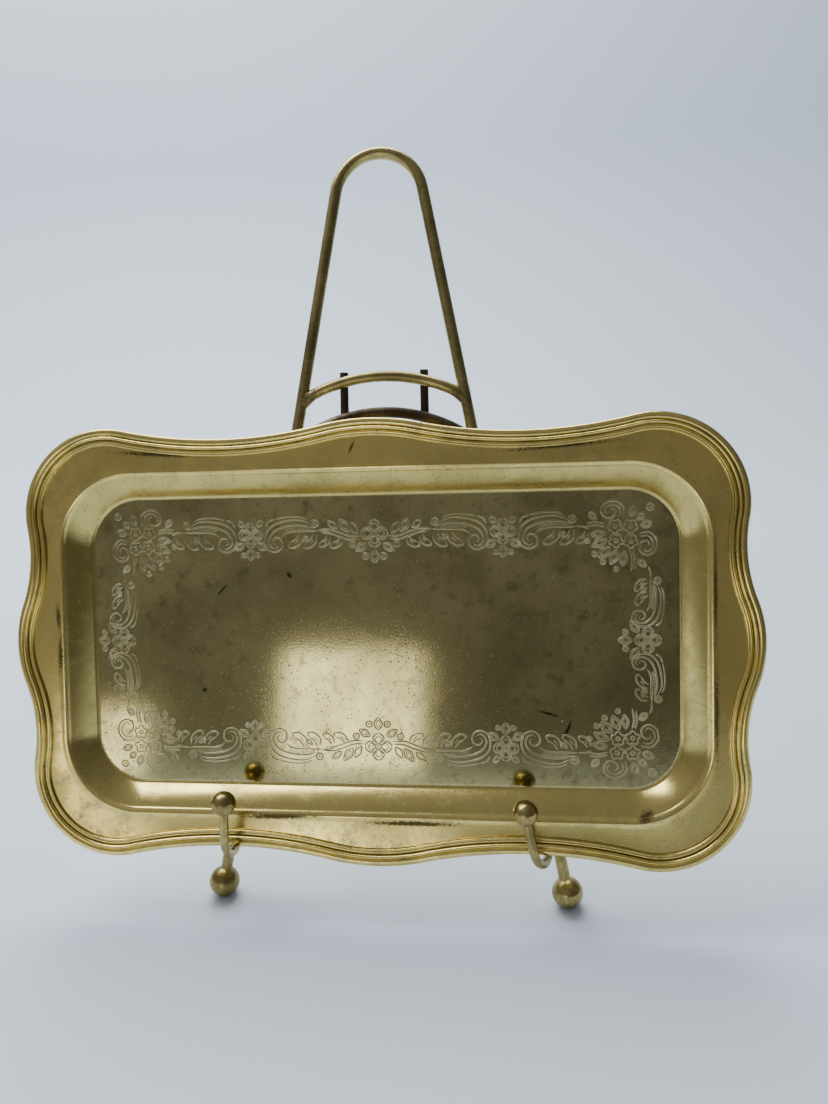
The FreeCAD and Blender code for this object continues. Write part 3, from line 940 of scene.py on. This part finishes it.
def braze_arch(name, centre_height, radius, half_sweep, side, sign):
    """Filler that spreads from an arch's end over the leg, more below than above."""
    spine, first, widths, depths = [], [], [], []
    leg = np.array((-sign * math.sin(LEG_SLOPE), math.cos(LEG_SLOPE), 0))
    for step in range(ARCH_RINGS):
        s = step / (ARCH_RINGS - 1)
        turn = math.radians(half_sweep - ARCH_FILL_SWEEP * s)
        radial = np.array((sign * math.sin(turn), math.cos(turn), 0))
        spread = (1 - s) ** 2.2
        on_arch = np.array((0, centre_height, 0)) + radial * radius
        spine.append(on_arch - leg * ARCH_FILL_DROP * spread)
        mixed = leg * (1 - s) + radial * s
        first.append(mixed / np.linalg.norm(mixed))
        widths.append(ARCH_FILL + 3.4 * spread)
        depths.append(ARCH_FILL + 0.22 * (1 - s))
    braze(f"braze_{name}_arch_{side}", spine, first, [FORWARDS] * ARCH_RINGS, widths, depths,
          "easel_frame")


def braze_bar(side, sign):
    """Filler where the hinge bar meets the leg."""
    spine, widths, depths = [], [], []
    for step in range(BAR_RINGS):
        s = step / (BAR_RINGS - 1)
        spine.append((sign * (leg_x(BAR_HEIGHT) - BAR_FILL_LENGTH * s), BAR_HEIGHT, BAR_DEPTH))
        widths.append(BAR_FILL + 2.4 * (1 - s) ** 2)
        depths.append(BAR_FILL + 0.25 * (1 - s))
    upwards = (0, 1, 0)
    braze(f"braze_hinge_bar_{side}", spine, [upwards] * BAR_RINGS, [FORWARDS] * BAR_RINGS,
          widths, depths, "easel_frame")


def braze_bead(name, middle, length, lean, width, depth, body):
    """A bead of filler along the line where two rods touch side by side."""
    along = np.array((-math.sin(math.radians(lean)), math.cos(math.radians(lean)), 0))
    shares = [math.cos(math.pi * step / (BEAD_RINGS + 1)) for step in range(1, BEAD_RINGS + 1)]
    spine = [np.array(middle) - along * share * length for share in shares]
    swell = [max(0.25, (1 - share * share) ** 0.5) for share in shares]
    widths, depths = [width * s for s in swell], [depth * s for s in swell]
    sideways = (1, 0, 0)
    braze(name, spine, [sideways] * BEAD_RINGS, [FORWARDS] * BEAD_RINGS, widths, depths, body)


for side, sign in (("left", -1), ("right", 1)):
    for arch in ARCHES:
        braze_arch(*arch, side, sign)
    braze_bar(side, sign)
    braze_bead(f"braze_sleeve_{side}", (sign * 21.2, BAR_HEIGHT, -4.35), 5.4, 0, 2.9, 1.25,
               "rear_support")
braze_bead("braze_hook_left", (-81.4, 45.0, 2.3), 5.2, 3, 2.3, 2.0, "easel_frame")
braze_bead("braze_hook_right", (81.5, 44.4, 2.3), 5.6, 10.8, 2.3, 2.0, "easel_frame")


# ------------------------------------------------------------------------------- studio

def area_light(name, place, aim, size, power, colour):
    light = bpy.data.lights.new(name, "AREA")
    light.shape = "RECTANGLE"
    light.size, light.size_y = size
    light.energy = power
    light.color = colour
    item = bpy.data.objects.new(name, light)
    item.location = place
    item.rotation_euler = (Vector(aim) - Vector(place)).to_track_quat("-Z", "Y").to_euler()
    bpy.context.scene.collection.objects.link(item)


def backdrop():
    """A floor that sweeps up into a wall behind the object."""
    radius, back, half, steps = 0.6, 0.8, 9.0, 24
    section = [(-9.0, 0.0), (back, 0.0)]
    for step in range(1, steps + 1):
        turn = math.pi / 2 * step / steps
        section.append((back + radius * math.sin(turn), radius * (1 - math.cos(turn))))
    section.append((back + radius, 3.5))
    points = [(x, y, z) for y, z in section for x in (-half, half)]
    faces = [(2 * i, 2 * i + 1, 2 * i + 3, 2 * i + 2) for i in range(len(section) - 1)]
    mesh = bpy.data.meshes.new("backdrop")
    mesh.from_pydata(points, [], faces)
    mesh.polygons.foreach_set("use_smooth", [True] * len(faces))
    paint = Paint("backdrop_paper")
    place = paint.add("TexCoord").outputs["Object"]
    shade = paint.noise(place, 1.2, 2)
    colour = paint.blend(shade, (0.64, 0.71, 0.80, 1), (0.70, 0.76, 0.85, 1))
    mesh.materials.append(paint.finish(colour, 0.9, 0.0))
    item = bpy.data.objects.new("backdrop", mesh)
    bpy.context.scene.collection.objects.link(item)


def surroundings():
    """Soft room light, brighter overhead and on the left."""
    world = bpy.data.worlds.new("soft_room")
    bpy.context.scene.world = world
    world.use_nodes = True
    tree = world.node_tree
    coordinates = tree.nodes.new("ShaderNodeTexCoord")
    split = tree.nodes.new("ShaderNodeSeparateXYZ")
    tree.links.new(coordinates.outputs["Generated"], split.inputs[0])
    ramp = tree.nodes.new("ShaderNodeValToRGB")
    tree.links.new(split.outputs["Z"], ramp.inputs[0])
    low, high = ramp.color_ramp.elements
    low.position, low.color = 0.0, (0.20, 0.20, 0.20, 1)
    high.position, high.color = 0.8, (0.38, 0.40, 0.44, 1)
    middle = ramp.color_ramp.elements.new(0.25)
    middle.color = (0.26, 0.26, 0.27, 1)
    background = tree.nodes["Background"]
    fall = tree.nodes.new("ShaderNodeMapRange")
    tree.links.new(split.outputs["X"], fall.inputs["Value"])
    left_to_right = {"From Min": -0.7, "From Max": 0.6, "To Min": 1.15, "To Max": 0.5}
    for name, value in left_to_right.items():
        fall.inputs[name].default_value = value
    tree.links.new(fall.outputs[0], background.inputs["Strength"])
    tree.links.new(ramp.outputs[0], background.inputs["Color"])


# The camera in the tray's own axes (right, up, front): directions, and its place in millimetres.
CAMERA_AHEAD = (-0.11764, -0.03436, -0.99246)
CAMERA_OVER = (0.01359, 0.99925, -0.03626)
CAMERA_PLACE = (70.5, 60.2, 422.6)
SENSOR_WIDTH, FOCAL_LENGTH = 36, 27.03


def in_tray_axes(direction):
    right, up, front = direction
    return RIGHT * right + UP * up + FRONT * front


def camera():
    """Hand-held close to the tray, right of its middle, looking slightly down and left."""
    lens = bpy.data.cameras.new("camera")
    lens.sensor_width = SENSOR_WIDTH
    lens.lens = FOCAL_LENGTH
    lens.clip_start = 0.01
    item = bpy.data.objects.new("camera", lens)
    bpy.context.scene.collection.objects.link(item)
    ahead = in_tray_axes(CAMERA_AHEAD)
    side = ahead.cross(in_tray_axes(CAMERA_OVER)).normalized()
    over = side.cross(ahead)
    turn = Matrix((side, over, -ahead)).transposed().to_4x4()
    turn.translation = TRAY @ (Vector(CAMERA_PLACE) * MM)
    item.matrix_world = turn
    bpy.context.scene.camera = item


# Name, place, aim, size, power in watts and colour.
LIGHTS = (
    ("overhead", (-0.7, 0.65, 2.0), (-0.6, 0.5, 0), (2.4, 1.2), 92, (0.93, 0.97, 1)),
    ("window", (-0.297, -1.5, 0.155), (-0.02, 0, 0.11), (0.31, 0.26), 0.82, (1, 0.99, 0.92)),
    ("side_window", (-0.86, -1.5, 0.07), (0, 0, 0.10), (0.13, 0.16), 0.22, (1, 0.97, 0.88)),
)

backdrop()
surroundings()
camera()
for light in LIGHTS:
    area_light(*light)
